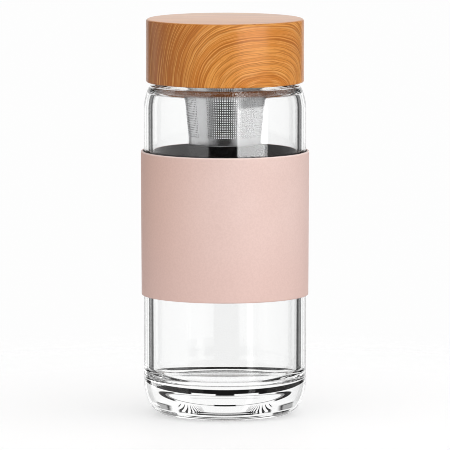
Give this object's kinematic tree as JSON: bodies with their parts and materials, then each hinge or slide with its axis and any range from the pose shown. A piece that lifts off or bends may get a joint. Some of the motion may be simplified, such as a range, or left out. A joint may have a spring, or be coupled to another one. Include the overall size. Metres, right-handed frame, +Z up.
{
  "type": "glass infuser bottle",
  "caption": "Thick clear glass bottle with a soft grip sleeve, a wood-grain screw lid and a tapered perforated steel infuser that plugs into the lid, for brewing and carrying tea.",
  "frame": {"origin": "middle of the foot, on the surface the bottle stands on", "axes": "+Z up along the bottle's axis; the picture looks along +Y"},
  "size_m": [0.0748, 0.0748, 0.1767],
  "materials": {
    "clear_glass": "clear polished thick glass",
    "blush_silicone": "smooth satin silicone, pale blush",
    "charcoal_lining": "dark charcoal inside layer",
    "lid_wood_grain": "satin orange-brown wood with arched grain",
    "liner_plastic": "moulded brown plastic",
    "seal_silicone": "caramel brown silicone",
    "infuser_steel": "bright satin stainless steel"
  },
  "bodies": {
    "bottle": {"glass_bottle": "clear_glass", "glass_neck": "clear_glass"},
    "grip_sleeve": {"sleeve": "blush_silicone", "sleeve_lining": "charcoal_lining"},
    "seal": {"lid_seal": "seal_silicone"},
    "lid": {"lid_shell": "lid_wood_grain", "lid_liner": "liner_plastic"},
    "infuser": {"infuser_basket": "infuser_steel", "infuser_floor": "infuser_steel", "infuser_collar": "infuser_steel", "infuser_ring": "seal_silicone"}
  },
  "joints": [
    {"name": "sleeve_slide", "type": "slide", "parent": "bottle", "child": "grip_sleeve", "axis": [0, 0, 1], "range_m": [-0.038, 0.019]},
    {"name": "lid_rise", "type": "slide", "parent": "bottle", "child": "seal", "axis": [0, 0, 1], "range_m": [0, 0.048]},
    {"name": "lid_turn", "type": "hinge", "parent": "seal", "child": "lid", "pos_m": [0, 0, 0.1485], "axis": [0, 0, 1], "range_deg": [0, 1440]},
    {"name": "infuser_pull", "type": "slide", "parent": "lid", "child": "infuser", "axis": [0, 0, 1], "range_m": [-0.05, 0]}
  ],
  "couplings": [
    {"joint": "lid_rise", "follows": "lid_turn", "m_per_rad": 0.0019099}
  ]
}
